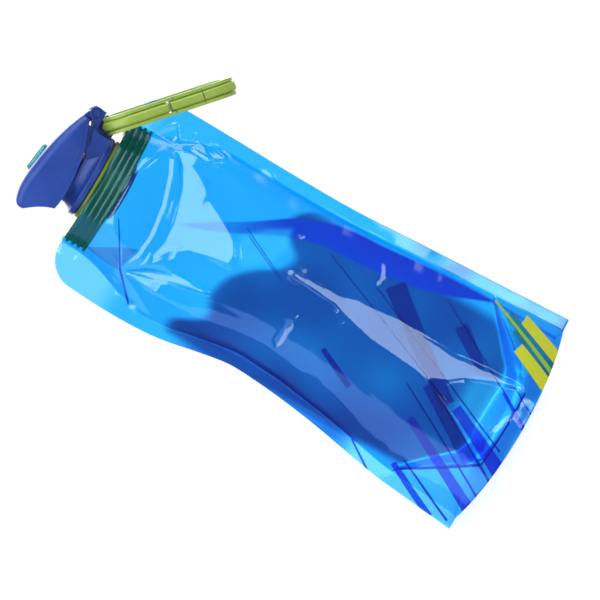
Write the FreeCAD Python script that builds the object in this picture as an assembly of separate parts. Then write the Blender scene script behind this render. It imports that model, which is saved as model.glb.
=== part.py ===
import FreeCAD, Part
import math
import os

from FreeCAD import Placement, Rotation, Vector

# Folding stand-up water bottle: a welded film pouch with a moulded spout, a screw cap with a flip
# lid, and a snap hook that hangs from the cap. Millimetres, +Z up, front towards -Y, the lid's
# hinge and the hook towards +X. The origin is the middle of the base that the pouch stands on.

# Pouch
FILM = 0.6
GUSSET_FILM = 0.5
POUCH_TOP = 238.4
TOP_CORNER_RADIUS = 13.0
# height, half width, half width between the side seals, half thickness
POUCH_STATIONS = [
    (0.0, 59.8, 58.6, 26.5),
    (10.0, 59.0, 56.5, 27.0),
    (37.0, 56.6, 50.4, 27.0),
    (80.0, 52.2, 45.6, 26.2),
    (125.0, 48.9, 42.3, 25.0),
    (165.0, 49.6, 43.0, 23.6),
    (200.0, 51.0, 41.8, 21.6),
    (222.0, 51.5, 35.6, 19.2),
    (230.0, 51.5, 34.1, 18.4),
    (POUCH_TOP, 51.5, 33.9, 18.3),
]
GUSSET_MIDDLE_HEIGHT = 6.0
GUSSET_SIDE_HEIGHT = 37.0
FOLD_HEIGHT = 125.0
FOLD_ZONE = 66.0

# Spout fitment
CANOE_BOTTOM = 226.4
CANOE_HALF_LENGTH = 33.3
CANOE_HALF_THICKNESS = 17.6
CANOE_CORE_STEP = 1.1
RIB_COUNT = 4
RIB_PITCH = 3.1
RIB_THICKNESS = 1.5
NECK_RADIUS = 17.2
COLLAR_RADIUS = 20.9
COLLAR_TOP = 239.7
SOCKET_RADIUS = 15.5

# Screw thread between the cap and the fitment
THREAD_LEAD = 4.0
THREAD_START = 225.5
PLUG_TURNS = 3.0
SOCKET_TURNS = 2.5
THREAD_DEPTH = 1.15
THREAD_ROOT = 0.4

# Cap: heights with CAP_ below are above the flange's underside
CAP_SEAT = 240.2
FLANGE_RADIUS = 20.85
FLANGE_THICKNESS = 3.0
PLUG_RADIUS = 14.05
PLUG_LENGTH = 16.7
PLUG_HOLLOW_RADIUS = 12.0
BOSS_RADIUS = 17.3
DECK_HEIGHT = 9.8
DECK_THICKNESS = 2.0
GASKET_INNER, GASKET_OUTER, GASKET_HEIGHT = 16.6, 19.4, 1.1
GASKET_PLAY = 0.06
BRACKET_HALF_WIDTH = 16.3
BRACKET_BACK = 19.2
EAR_INNER, EAR_OUTER = 5.8, 8.3
SPOUT_X = -6.5
SPOUT_BORE = 3.6
SPOUT_RADIUS = 5.6
SPOUT_TOP = 18.3

# Lid hinge
PIN_X, PIN_HEIGHT = 27.3, 14.3
PIN_RADIUS = 1.85
PIN_BORE = 1.92
PIN_HALF_LENGTH = 8.5
BARREL_RADIUS = 3.2
BARREL_HALF_WIDTH = 5.5
LID_REST_ANGLE = 7.3
LID_WALL = 1.5
# the closed lid's side view, (x, height) from its hinge end to its beak
LID_TOP = [(22.6, 19.4), (11.0, 22.4), (0.0, 23.8), (-10.0, 24.1), (-20.0, 23.4), (-28.4, 20.6)]
LID_TIP = [(-28.4, 20.6), (-30.5, 18.2), (-30.4, 15.2)]
LID_LIP = [(-30.4, 15.2), (-26.2, 11.2), (-22.9, 6.8), (-21.2, 3.5)]
LID_RIM = [(-21.2, 3.5), (-14.4, 3.6), (-6.3, 4.9), (0.7, 6.5), (8.2, 8.9), (15.0, 11.9), (22.6, 15.6)]
# its plan, (x, half width)
LID_PLAN = [(22.6, 11.4), (15.0, 16.6), (8.0, 19.2), (0.5, 20.0), (-7.0, 19.3), (-14.4, 16.9),
            (-21.2, 13.3), (-27.0, 9.8), (-30.8, 7.2)]
LID_SHOULDER = 4.0
# the cap's raised back inside the lid, (x, height), and the play round it
STOP_OUTLINE = [(8.0, 9.0), (8.0, 11.4), (13.0, 13.0), (19.0, 15.3), (20.6, 15.9), (20.6, 9.0)]
STOP_PLAY = 0.4
LID_ROOF = [(LID_TOP[0][0] - LID_WALL, 17.9), (11.0, 20.9), (0.0, 22.3), (-10.0, 22.6),
            (-20.0, 21.9), (-26.6, 20.0)]
BEAK_FLOOR = [(-26.6, 17.0), (-24.0, 13.4), (-21.0, 8.6), (-19.5, 5.0)]
BEAD_HEIGHT = 1.4
BEAD_PROUD = 0.5
SEAL_HEAD_RADIUS = 7.4
SEAL_HEAD_HEIGHT = 2.0
SEAL_STEM_RADIUS = 2.9
SEAL_TIP_HEIGHT = 14.6

# Snap hook, drawn in its own plane: s runs from its pivot to its far end, y across it, p through it
HOOK_X, HOOK_HEIGHT = 24.5, 6.9
HOOK_ANGLE = 41.6
HOOK_LENGTH = 62.5
HOOK_HALF_WIDTH = 17.0
HOOK_CORNER = 11.5
HOOK_HALF_DEPTH = 4.3
HOOK_BAR_RADIUS = 2.5
HOOK_BAR_HALF = 8.8
HOOK_EYE_PLAY = 0.1
HOOK_INNER, HOOK_OUTER = 2.4, 2.6
HOOK_CHANNEL = 0.9
HOOK_RIB_HALF = 2.3
HOOK_RIB_ROUND = 1.4
HOOK_FLANGE = 1.7
HOOK_FLANGE_THICKNESS = 1.6
HOOK_WEB = 0.5
GATE_START, GATE_END = 26.0, 50.5
GATE_PIVOT = 30.0
GATE_PIN_RADIUS = 1.0
GATE_PIN_PLAY = 0.06
GATE_KNUCKLE_RADIUS = 1.5
GATE_KNUCKLE = 1.9
GATE_GAP = 0.35
CHEEK_RADIUS = 3.1
CHEEK_END = GATE_PIVOT + CHEEK_RADIUS
TONGUE_SETBACK = 1.15
NOSE_LENGTH = 3.0


def box(x0, x1, y0, y1, z0, z1):
    return Part.makeBox(x1 - x0, y1 - y0, z1 - z0, Vector(x0, y0, z0))


def cylinder_y(radius, y0, y1, x, z):
    return Part.makeCylinder(radius, y1 - y0, Vector(x, y0, z), Vector(0, 1, 0))


def extrude_y(points, y0, y1):
    """A closed outline of (x, z) points, extruded from y0 to y1."""
    corners = [Vector(x, y0, z) for x, z in points]
    face = Part.Face(Part.makePolygon(corners + corners[:1]))
    return face.extrude(Vector(0, y1 - y0, 0))


def arc(a, b, c):
    return Part.Arc(Vector(*a), Vector(*b), Vector(*c)).toShape()


def line(a, b):
    return Part.LineSegment(Vector(*a), Vector(*b)).toShape()


def one_solid(shape):
    shape = shape.removeSplitter()
    return shape.Solids[0] if len(shape.Solids) == 1 else shape


# ---------------------------------------------------------------- pouch


def film_section(station, side):
    """One film's cross-section: a flat seal, the bulging wall and the other flat seal."""
    z, width, span, bulge = station
    y = side * FILM
    edges = [
        line((-width, y, z), (-span, y, z)),
        arc((-span, y, z), (0, side * bulge, z), (span, y, z)),
        line((span, y, z), (width, y, z)),
        line((width, y, z), (width, 0, z)),
        line((width, 0, z), (span, 0, z)),
        arc((span, 0, z), (0, side * (bulge - FILM), z), (-span, 0, z)),
        line((-span, 0, z), (-width, 0, z)),
        line((-width, 0, z), (-width, y, z)),
    ]
    return Part.Wire(edges)


def rounded_front_outline():
    """The pouch's outline seen from the front, with its two round top corners, as a thick block."""
    low, side, r = -1.0, 70.0, TOP_CORNER_RADIUS
    half = POUCH_STATIONS[-1][1]
    mid = r * (1 - math.sqrt(0.5))
    y = -40.0
    edges = [
        line((-side, y, low), (side, y, low)),
        line((side, y, low), (side, y, POUCH_TOP - 60)),
        line((side, y, POUCH_TOP - 60), (half + 0.2, y, POUCH_TOP - 30)),
        line((half + 0.2, y, POUCH_TOP - 30), (half + 0.2, y, POUCH_TOP - r)),
        arc((half + 0.2, y, POUCH_TOP - r), (half + 0.2 - mid, y, POUCH_TOP - mid),
            (half + 0.2 - r, y, POUCH_TOP)),
        line((half + 0.2 - r, y, POUCH_TOP), (-half - 0.2 + r, y, POUCH_TOP)),
        arc((-half - 0.2 + r, y, POUCH_TOP), (-half - 0.2 + mid, y, POUCH_TOP - mid),
            (-half - 0.2, y, POUCH_TOP - r)),
        line((-half - 0.2, y, POUCH_TOP - r), (-half - 0.2, y, POUCH_TOP - 30)),
        line((-half - 0.2, y, POUCH_TOP - 30), (-side, y, POUCH_TOP - 60)),
        line((-side, y, POUCH_TOP - 60), (-side, y, low)),
    ]
    return Part.Face(Part.Wire(edges)).extrude(Vector(0, 80, 0))


def whole_film(side):
    film = Part.makeLoft([film_section(s, side) for s in POUCH_STATIONS], True, False)
    return film.common(rounded_front_outline())


def cavity(shrink):
    """The space between the two films up to fold height, drawn in by shrink."""
    sections = []
    for z, _, span, bulge in POUCH_STATIONS[:5]:
        reach = span - 2 * shrink
        depth = bulge - FILM - shrink
        sections.append(Part.Wire([
            arc((-reach, 0, z), (0, -depth, z), (reach, 0, z)),
            arc((reach, 0, z), (0, depth, z), (-reach, 0, z)),
        ]))
    return Part.makeLoft(sections, True, False)


def gusset_arch(rise):
    """The arch that the gusset's fold follows, as points from side to side."""
    reach = POUCH_STATIONS[0][1]
    climb = GUSSET_SIDE_HEIGHT - GUSSET_MIDDLE_HEIGHT
    steps = [n / 4 for n in range(-4, 5)]
    return [Vector(reach * t, -40, GUSSET_MIDDLE_HEIGHT + rise + climb * t * t) for t in steps]


def arch_edge(rise):
    curve = Part.BSplineCurve()
    curve.interpolate(gusset_arch(rise))
    return curve.toShape()


def under_arch(low, rise):
    """A block across the pouch between an arch above and either height low or a second arch."""
    top = arch_edge(rise)
    a, b = top.Vertexes[0].Point, top.Vertexes[-1].Point
    if low is None:
        floor = arch_edge(0.0)
        c, d = floor.Vertexes[-1].Point, floor.Vertexes[0].Point
        edges = [top, line(b, c), floor, line(d, a)]
    else:
        c, d = Vector(b.x, b.y, low), Vector(a.x, a.y, low)
        edges = [top, line(b, c), line(c, d), line(d, a)]
    return Part.Face(Part.Wire(Part.__sortEdges__(edges))).extrude(Vector(0, 80, 0))


def bottom_gusset():
    """The base panel: a saddle between the films, and its legs welded inside them down to the rim."""
    inside = cavity(0.05)
    saddle = inside.common(under_arch(None, GUSSET_FILM))
    legs = inside.cut(cavity(0.05 + GUSSET_FILM)).common(under_arch(0.0, GUSSET_FILM))
    return one_solid(saddle.fuse(legs))


def slab(z0, z1):
    return box(-80, 80, -60, 60, z0, z1)


# ---------------------------------------------------------------- spout fitment


def lens(half_length, half_thickness, z0, z1):
    """A pointed oval prism, the shape that films are welded round."""
    edges = [
        arc((-half_length, 0, z0), (0, -half_thickness, z0), (half_length, 0, z0)),
        arc((half_length, 0, z0), (0, half_thickness, z0), (-half_length, 0, z0)),
    ]
    return Part.Face(Part.Wire(edges)).extrude(Vector(0, 0, z1 - z0))


def helical_ridge(root_radius, crest_radius, root_half, crest_half, z, turns):
    """A trapezoidal screw ridge round the Z axis that begins on the +X side at height z."""
    helix = Part.makeHelix(THREAD_LEAD, THREAD_LEAD * turns, root_radius)
    helix.translate(Vector(0, 0, z))
    corners = [
        Vector(root_radius, 0, z - root_half),
        Vector(crest_radius, 0, z - crest_half),
        Vector(crest_radius, 0, z + crest_half),
        Vector(root_radius, 0, z + root_half),
    ]
    profile = Part.makePolygon(corners + corners[:1])
    return Part.Wire(helix.Edges).makePipeShell([profile], True, True)


def spout_fitment():
    core_length = CANOE_HALF_LENGTH - CANOE_CORE_STEP
    core_thickness = CANOE_HALF_THICKNESS - CANOE_CORE_STEP
    body = lens(core_length, core_thickness, CANOE_BOTTOM, POUCH_TOP)
    for n in range(RIB_COUNT):
        z = CANOE_BOTTOM + n * RIB_PITCH
        body = body.fuse(lens(CANOE_HALF_LENGTH, CANOE_HALF_THICKNESS, z, z + RIB_THICKNESS))
    neck = Part.makeCylinder(NECK_RADIUS, POUCH_TOP - CANOE_BOTTOM, Vector(0, 0, CANOE_BOTTOM))
    collar = Part.makeCylinder(COLLAR_RADIUS, COLLAR_TOP - POUCH_TOP, Vector(0, 0, POUCH_TOP))
    collar = collar.makeFillet(0.4, [collar.Edges[0]])
    body = body.fuse([neck, collar])
    body = body.cut(Part.makeCylinder(SOCKET_RADIUS, 40, Vector(0, 0, 210)))
    ridge = helical_ridge(
        SOCKET_RADIUS + THREAD_ROOT, SOCKET_RADIUS - THREAD_DEPTH, 0.75, 0.4,
        THREAD_START + THREAD_LEAD / 2, SOCKET_TURNS)
    return one_solid(body.fuse(ridge))


# ---------------------------------------------------------------- screw cap


def cap_turned_part():
    """The cap's round body: plug, flange, coved skirt and deck, turned about the Z axis."""
    z = CAP_SEAT
    inner = PLUG_HOLLOW_RADIUS
    top = z + DECK_HEIGHT
    recess = z + GASKET_HEIGHT - (CAP_SEAT - COLLAR_TOP) + 2 * GASKET_PLAY
    edge = 0.6
    edges = [
        line((inner, 0, z - PLUG_LENGTH), (PLUG_RADIUS - edge, 0, z - PLUG_LENGTH)),
        line((PLUG_RADIUS - edge, 0, z - PLUG_LENGTH), (PLUG_RADIUS, 0, z - PLUG_LENGTH + edge)),
        line((PLUG_RADIUS, 0, z - PLUG_LENGTH + edge), (PLUG_RADIUS, 0, z)),
        line((PLUG_RADIUS, 0, z), (GASKET_INNER - GASKET_PLAY, 0, z)),
        line((GASKET_INNER - GASKET_PLAY, 0, z), (GASKET_INNER - GASKET_PLAY, 0, recess)),
        line((GASKET_INNER - GASKET_PLAY, 0, recess), (GASKET_OUTER + GASKET_PLAY, 0, recess)),
        line((GASKET_OUTER + GASKET_PLAY, 0, recess), (GASKET_OUTER + GASKET_PLAY, 0, z)),
        line((GASKET_OUTER + GASKET_PLAY, 0, z), (FLANGE_RADIUS - edge, 0, z)),
        arc((FLANGE_RADIUS - edge, 0, z), (FLANGE_RADIUS - 0.18, 0, z + 0.18),
            (FLANGE_RADIUS, 0, z + edge)),
        line((FLANGE_RADIUS, 0, z + edge), (FLANGE_RADIUS, 0, z + FLANGE_THICKNESS - edge)),
        arc((FLANGE_RADIUS, 0, z + FLANGE_THICKNESS - edge),
            (FLANGE_RADIUS - 0.18, 0, z + FLANGE_THICKNESS - 0.18),
            (FLANGE_RADIUS - edge, 0, z + FLANGE_THICKNESS)),
        arc((FLANGE_RADIUS - edge, 0, z + FLANGE_THICKNESS), (BOSS_RADIUS + 1.0, 0, z + 5.3),
            (BOSS_RADIUS, 0, top - 1.0)),
        arc((BOSS_RADIUS, 0, top - 1.0), (BOSS_RADIUS - 0.3, 0, top - 0.3),
            (BOSS_RADIUS - 1.0, 0, top)),
        line((BOSS_RADIUS - 1.0, 0, top), (0, 0, top)),
        line((0, 0, top), (0, 0, top - DECK_THICKNESS)),
        line((0, 0, top - DECK_THICKNESS), (inner, 0, top - DECK_THICKNESS)),
        line((inner, 0, top - DECK_THICKNESS), (inner, 0, z - PLUG_LENGTH)),
    ]
    return Part.Face(Part.Wire(edges)).revolve(Vector(0, 0, 0), Vector(0, 0, 1), 360)


def cap_bracket():
    """The block behind the deck, the two ears for the lid's pin and the lug for the snap hook."""
    z = CAP_SEAT
    block = extrude_y(
        [(3.0, z + 2.4), (BRACKET_BACK, z + 2.4), (BRACKET_BACK, z + 12.4), (13.0, z + 10.2),
         (9.0, z + 9.9), (3.0, z + 9.5)],
        -BRACKET_HALF_WIDTH, BRACKET_HALF_WIDTH)
    ear = [(30.4, z + 16.4), (27.9, z + 18.1), (24.3, z + 16.7), (23.2, z + 14.4),
           (19.4, z + 12.4), (16.0, z + 11.0), (19.0, z + 10.4), (30.0, z + 10.7)]
    lug = [(17.0, z + 2.6), (27.3, z + 2.6), (29.3, z + 4.8), (29.3, z + 9.6), (26.4, z + 10.4),
           (22.6, z + 11.0), (17.0, z + 11.4)]
    body = block.fuse([
        extrude_y(ear, -EAR_OUTER, -EAR_INNER),
        extrude_y(ear, EAR_INNER, EAR_OUTER),
        extrude_y(lug, -4.8, 4.8),
    ])
    stop = extrude_y([(x, z + h) for x, h in STOP_OUTLINE], -BRACKET_HALF_WIDTH, BRACKET_HALF_WIDTH)
    body = body.fuse(stop.common(plan_prism(-LID_WALL - STOP_PLAY)))
    swing = cylinder_y(BARREL_RADIUS + 0.35, -EAR_INNER, EAR_INNER, PIN_X, z + PIN_HEIGHT)
    arm_room = box(BRACKET_BACK - 2.5, 24, -EAR_INNER, EAR_INNER, z + 11.3, z + 20)
    return body.cut([swing, arm_room])


def cap_body():
    z = CAP_SEAT
    body = cap_turned_part().fuse(cap_bracket())
    well = Part.makeCylinder(PLUG_HOLLOW_RADIUS, DECK_HEIGHT - DECK_THICKNESS, Vector(0, 0, z))
    body = body.cut([
        well,
        Part.makeCylinder(SPOUT_BORE + 1.0, 20, Vector(SPOUT_X, 0, z)),
        cylinder_y(PIN_RADIUS, -20, 20, PIN_X, z + PIN_HEIGHT),
        cylinder_y(PIN_RADIUS + 0.6, -20, -EAR_OUTER + 0.5, PIN_X, z + PIN_HEIGHT),
        cylinder_y(PIN_RADIUS + 0.6, EAR_OUTER - 0.5, 20, PIN_X, z + PIN_HEIGHT),
        cylinder_y(HOOK_BAR_RADIUS + HOOK_EYE_PLAY, -20, 20, HOOK_X, z + HOOK_HEIGHT),
    ])
    ridge = helical_ridge(
        PLUG_RADIUS - THREAD_ROOT, PLUG_RADIUS + THREAD_DEPTH, 1.1, 0.6,
        THREAD_START, PLUG_TURNS)
    return one_solid(body.fuse(ridge))


def cap_gasket():
    low = COLLAR_TOP + GASKET_PLAY
    ring = Part.makeCylinder(GASKET_OUTER, GASKET_HEIGHT, Vector(0, 0, low))
    return ring.cut(Part.makeCylinder(GASKET_INNER, GASKET_HEIGHT, Vector(0, 0, low)))


def drinking_spout():
    """The soft mouthpiece: a collared tube pressed into the deck, with a rounded lip."""
    z = CAP_SEAT
    low = z + DECK_HEIGHT - DECK_THICKNESS
    deck = z + DECK_HEIGHT
    top = z + SPOUT_TOP
    lip = 1.0
    outer, bore = SPOUT_RADIUS, SPOUT_BORE
    edges = [
        line((bore, 0, low), (bore + 1.0, 0, low)),
        line((bore + 1.0, 0, low), (bore + 1.0, 0, deck)),
        line((bore + 1.0, 0, deck), (outer + 1.4, 0, deck)),
        line((outer + 1.4, 0, deck), (outer + 1.4, 0, deck + 1.0)),
        arc((outer + 1.4, 0, deck + 1.0), (outer + 0.4, 0, deck + 1.5), (outer, 0, deck + 2.6)),
        line((outer, 0, deck + 2.6), (outer - 0.5, 0, top - lip)),
        arc((outer - 0.5, 0, top - lip), (outer - 0.9, 0, top - 0.3), (outer - 1.5, 0, top)),
        line((outer - 1.5, 0, top), (bore, 0, top - 0.6)),
        line((bore, 0, top - 0.6), (bore, 0, low)),
    ]
    tube = Part.Face(Part.Wire(edges)).revolve(Vector(0, 0, 0), Vector(0, 0, 1), 360)
    tube.translate(Vector(SPOUT_X, 0, 0))
    return tube


# ---------------------------------------------------------------- flip lid


def side_curve(points, rise=0.0):
    """A smooth curve through (x, height) points, in a plane clear of the lid's front side."""
    curve = Part.BSplineCurve()
    curve.interpolate([Vector(x, -25, CAP_SEAT + h + rise) for x, h in points])
    return curve.toShape()


def side_line(a, b):
    return line((a[0], -25, CAP_SEAT + a[1]), (b[0], -25, CAP_SEAT + b[1]))


def side_prism(edges):
    return Part.Face(Part.Wire(edges)).extrude(Vector(0, 50, 0))


def plan_prism(grow):
    """The lid's plan as an upright prism, with its long sides moved outwards by grow."""
    low = CAP_SEAT - 5
    sides = []
    for side in (-1, 1):
        curve = Part.BSplineCurve()
        curve.interpolate([Vector(x, side * (half + grow), low) for x, half in LID_PLAN])
        sides.append(curve.toShape())
    edges = list(sides)
    for x, half in (LID_PLAN[0], LID_PLAN[-1]):
        edges.append(line((x, -half - grow, low), (x, half + grow, low)))
    return Part.Face(Part.Wire(Part.__sortEdges__(edges))).extrude(Vector(0, 0, 60))


def lid_dome():
    """The lid's outer form: its side view and its plan in one, with round shoulders."""
    tip = Part.Arc(*[Vector(x, -25, CAP_SEAT + h) for x, h in LID_TIP]).toShape()
    profile = side_prism([
        side_curve(LID_TOP), tip, side_curve(LID_LIP), side_curve(LID_RIM),
        side_line(LID_RIM[-1], LID_TOP[0]),
    ])
    dome = profile.common(plan_prism(0.0))
    shoulders = [
        e for e in dome.Edges
        if e.Length > 30 and e.BoundBox.ZMax > CAP_SEAT + 20 and e.BoundBox.YMin * e.BoundBox.YMax > 0
    ]
    return dome.makeFillet(LID_SHOULDER, shoulders)


def lid_hollow():
    """The space inside the lid: open below over the deck, closed below inside the beak."""
    front, back = BEAK_FLOOR[-1], LID_ROOF[0]
    below = [(front[0], -3.0), (back[0], -3.0)]
    profile = side_prism([
        side_curve(LID_ROOF), side_line(LID_ROOF[-1], BEAK_FLOOR[0]), side_curve(BEAK_FLOOR),
        side_line(front, below[0]), side_line(below[0], below[1]), side_line(below[1], back),
    ])
    return profile.common(plan_prism(-LID_WALL))


def lid_bead():
    """The narrow bead round the lid's lower edge."""
    low, high = side_curve(LID_RIM), side_curve(LID_RIM, BEAD_HEIGHT)
    ends = []
    for x, h in (LID_RIM[0], LID_RIM[-1]):
        ends.append(side_line((x, h), (x, h + BEAD_HEIGHT)))
    band = side_prism(Part.__sortEdges__([low, high] + ends))
    return band.common(plan_prism(BEAD_PROUD))


def open_lid(shape):
    """Turns a piece drawn on the closed lid about the hinge pin to the lid's resting angle."""
    pin = Vector(PIN_X, 0, CAP_SEAT + PIN_HEIGHT)
    turned = shape.copy()
    turned.rotate(pin, Vector(0, 1, 0), LID_REST_ANGLE)
    return turned


def closed_lid():
    z = CAP_SEAT
    shell = lid_dome().fuse(lid_bead()).cut(lid_hollow())
    half = BARREL_HALF_WIDTH
    barrel = cylinder_y(BARREL_RADIUS, -half, half, PIN_X, z + PIN_HEIGHT)
    arm = extrude_y(
        [(PIN_X, z + PIN_HEIGHT + BARREL_RADIUS), (25.0, z + 18.5), (21.3, z + 19.3),
         (21.3, z + 15.3), (PIN_X - BARREL_RADIUS, z + PIN_HEIGHT - 0.6), (PIN_X, z + PIN_HEIGHT)],
        -half, half)
    shell = shell.fuse([barrel, arm])
    shell = shell.cut([
        cylinder_y(PIN_BORE, -20, 20, PIN_X, z + PIN_HEIGHT),
        Part.makeCylinder(SEAL_STEM_RADIUS, 20, Vector(SPOUT_X, 0, z + 19)),
    ])
    return one_solid(shell)


def closed_seal():
    """The soft stopper: a button outside the lid, a stem through it, a collar and a plug inside."""
    z = CAP_SEAT
    crown = z + max(h for _, h in LID_TOP)
    roof = crown - LID_WALL
    tip = z + SEAL_TIP_HEIGHT
    head, stem, collar = SEAL_HEAD_RADIUS, SEAL_STEM_RADIUS, SEAL_STEM_RADIUS + 2.2
    under, over = roof + 0.1, crown - 0.8
    top = crown + SEAL_HEAD_HEIGHT
    edges = [
        line((0, 0, tip), (stem - 1.0, 0, tip)),
        line((stem - 1.0, 0, tip), (stem, 0, tip + 1.8)),
        line((stem, 0, tip + 1.8), (stem, 0, roof - 1.6)),
        line((stem, 0, roof - 1.6), (collar, 0, roof - 1.6)),
        line((collar, 0, roof - 1.6), (collar, 0, under)),
        line((collar, 0, under), (stem, 0, under)),
        line((stem, 0, under), (stem, 0, over)),
        line((stem, 0, over), (head, 0, over)),
        line((head, 0, over), (head, 0, crown + 0.8)),
        arc((head, 0, crown + 0.8), (head - 0.4, 0, top - 0.5), (head - 1.4, 0, top)),
        line((head - 1.4, 0, top), (0, 0, top)),
        line((0, 0, top), (0, 0, tip)),
    ]
    plug = Part.Face(Part.Wire(edges)).revolve(Vector(0, 0, 0), Vector(0, 0, 1), 360)
    plug.translate(Vector(SPOUT_X, 0, 0))
    return plug


def lid_pieces():
    """The lid and its stopper, which is shaped to the lid where the two touch."""
    lid = closed_lid()
    seal = one_solid(closed_seal().cut(lid))
    return open_lid(lid), open_lid(seal)


def hinge_pin():
    return cylinder_y(PIN_RADIUS, -PIN_HALF_LENGTH, PIN_HALF_LENGTH, PIN_X, CAP_SEAT + PIN_HEIGHT)


# ---------------------------------------------------------------- snap hook


def round_loop(offset, p):
    """The hook's long round-cornered loop at depth p, grown outwards by offset."""
    near, far = -offset, HOOK_LENGTH + offset
    half = HOOK_HALF_WIDTH + offset
    r = HOOK_CORNER + offset
    m = r * (1 - math.sqrt(0.5))
    edges = [
        line((near + r, -half, p), (far - r, -half, p)),
        arc((far - r, -half, p), (far - m, -half + m, p), (far, -half + r, p)),
        line((far, -half + r, p), (far, half - r, p)),
        arc((far, half - r, p), (far - m, half - m, p), (far - r, half, p)),
        line((far - r, half, p), (near + r, half, p)),
        arc((near + r, half, p), (near + m, half - m, p), (near, half - r, p)),
        line((near, half - r, p), (near, -half + r, p)),
        arc((near, -half + r, p), (near + m, -half + m, p), (near + r, -half, p)),
    ]
    return Part.Face(Part.Wire(edges))


def loop_band(inner, outer, p0, p1):
    """A closed band round the loop, from the inner to the outer offset, between two depths."""
    rise = Vector(0, 0, p1 - p0)
    return round_loop(outer, p0).extrude(rise).cut(round_loop(-inner, p0).extrude(rise))


def round_rib():
    """The hook's middle rib, rounded over on the outside of the loop."""
    half = HOOK_RIB_HALF
    block = round_loop(HOOK_OUTER, -half).extrude(Vector(0, 0, 2 * half))
    rims = [e for e in block.Edges if abs(e.BoundBox.ZMin - e.BoundBox.ZMax) < 0.01]
    block = block.makeFillet(HOOK_RIB_ROUND, rims)
    return block.cut(round_loop(HOOK_CHANNEL - HOOK_INNER, -half).extrude(Vector(0, 0, 2 * half)))


def hook_ring():
    """The whole ring before the gate is cut out: a web, two edge flanges and a middle rib."""
    depth = HOOK_HALF_DEPTH
    web = loop_band(HOOK_INNER - HOOK_CHANNEL, HOOK_WEB, -depth + 0.3, depth - 0.3)
    low_flange = loop_band(HOOK_INNER, HOOK_FLANGE, -depth, -depth + HOOK_FLANGE_THICKNESS)
    high_flange = loop_band(HOOK_INNER, HOOK_FLANGE, depth - HOOK_FLANGE_THICKNESS, depth)
    return web.fuse([low_flange, high_flange, round_rib()])


def place_hook(shape):
    """Moves a piece from the hook's own plane to where it hangs on the cap."""
    placed = shape.copy()
    turn = Rotation(Vector(0, 1, 0), HOOK_ANGLE)
    move = Placement(Vector(HOOK_X, 0, CAP_SEAT + HOOK_HEIGHT), turn)
    placed.Placement = move.multiply(placed.Placement)
    return placed


def gate_span(s0, s1, p0, p1, outer=3.2, inner=3.0):
    """A block round the hook's front arm, between two stations and two depths."""
    y = -HOOK_HALF_WIDTH
    return box(s0, s1, y - outer, y + inner, p0, p1)


def gate_cylinder(radius, half):
    return Part.makeCylinder(radius, 2 * half, Vector(GATE_PIVOT, -HOOK_HALF_WIDTH, -half))


def carabiner_body():
    """The ring with the gate's length cut out, round cheeks at the gate's joint, and the hang bar."""
    depth = HOOK_HALF_DEPTH + 0.2
    slot = GATE_KNUCKLE + GATE_GAP
    gate_room = gate_span(GATE_PIVOT, GATE_END - NOSE_LENGTH, -depth, depth)
    ring = hook_ring().cut([
        gate_room.cut(gate_cylinder(CHEEK_RADIUS, depth)),
        gate_span(GATE_PIVOT - GATE_GAP, CHEEK_END + 1.0, -slot, slot),
        gate_cylinder(GATE_KNUCKLE_RADIUS + GATE_GAP, slot),
        gate_span(GATE_END - NOSE_LENGTH - 0.1, GATE_END, -depth, depth, 0.3),
        box(-6, 5.6, -HOOK_BAR_HALF, HOOK_BAR_HALF, -depth, depth),
    ])
    start = Vector(0, -HOOK_BAR_HALF, 0)
    bar = Part.makeCylinder(HOOK_BAR_RADIUS, 2 * HOOK_BAR_HALF, start, Vector(0, 1, 0))
    ring = ring.fuse(bar)
    ring = ring.cut(gate_cylinder(GATE_PIN_RADIUS, depth))
    return place_hook(one_solid(ring))


def carabiner_gate():
    """The sprung gate: a knuckle between the body's cheeks, the arm and a half-lapped nose."""
    depth = HOOK_HALF_DEPTH + 0.2
    gap = GATE_GAP
    ring = hook_ring()
    arm = ring.common(gate_span(GATE_PIVOT, GATE_END - NOSE_LENGTH - gap, -depth, depth))
    arm = arm.cut(gate_cylinder(CHEEK_RADIUS + gap, depth))
    nose = ring.common(
        gate_span(GATE_END - NOSE_LENGTH - 0.5, GATE_END - gap, -depth, depth, -0.4))
    start = GATE_PIVOT + TONGUE_SETBACK
    tongue = ring.common(gate_span(start, CHEEK_END + 1.0, -GATE_KNUCKLE, GATE_KNUCKLE))
    knuckle = gate_cylinder(GATE_KNUCKLE_RADIUS, GATE_KNUCKLE)
    gate = arm.fuse([nose, tongue, knuckle])
    gate = gate.cut(gate_cylinder(GATE_PIN_RADIUS + GATE_PIN_PLAY, depth))
    return place_hook(one_solid(gate))


def gate_pin():
    return place_hook(gate_cylinder(GATE_PIN_RADIUS, HOOK_HALF_DEPTH - 0.1))


def gate_spring():
    """The leaf spring in the channel on the inside of the front arm."""
    floor = -HOOK_HALF_WIDTH + HOOK_INNER - HOOK_CHANNEL + 0.05
    strip = box(GATE_START - 9.0, GATE_PIVOT + 14.0, floor, floor + 0.4, -1.2, 1.2)
    return place_hook(strip)


# ---------------------------------------------------------------- all pieces


def film_pieces():
    """Each film in three lengths: below, across and above the line that the pouch folds on."""
    low = FOLD_HEIGHT - FOLD_ZONE / 2
    high = FOLD_HEIGHT + FOLD_ZONE / 2
    pieces = {}
    for name, side in (("front", -1), ("back", 1)):
        film = whole_film(side)
        pieces[name + "_film_lower"] = film.common(slab(0.0, low))
        pieces[name + "_film_fold"] = film.common(slab(low, high))
        pieces[name + "_film_upper"] = film.common(slab(high, POUCH_TOP))
    return pieces


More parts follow.
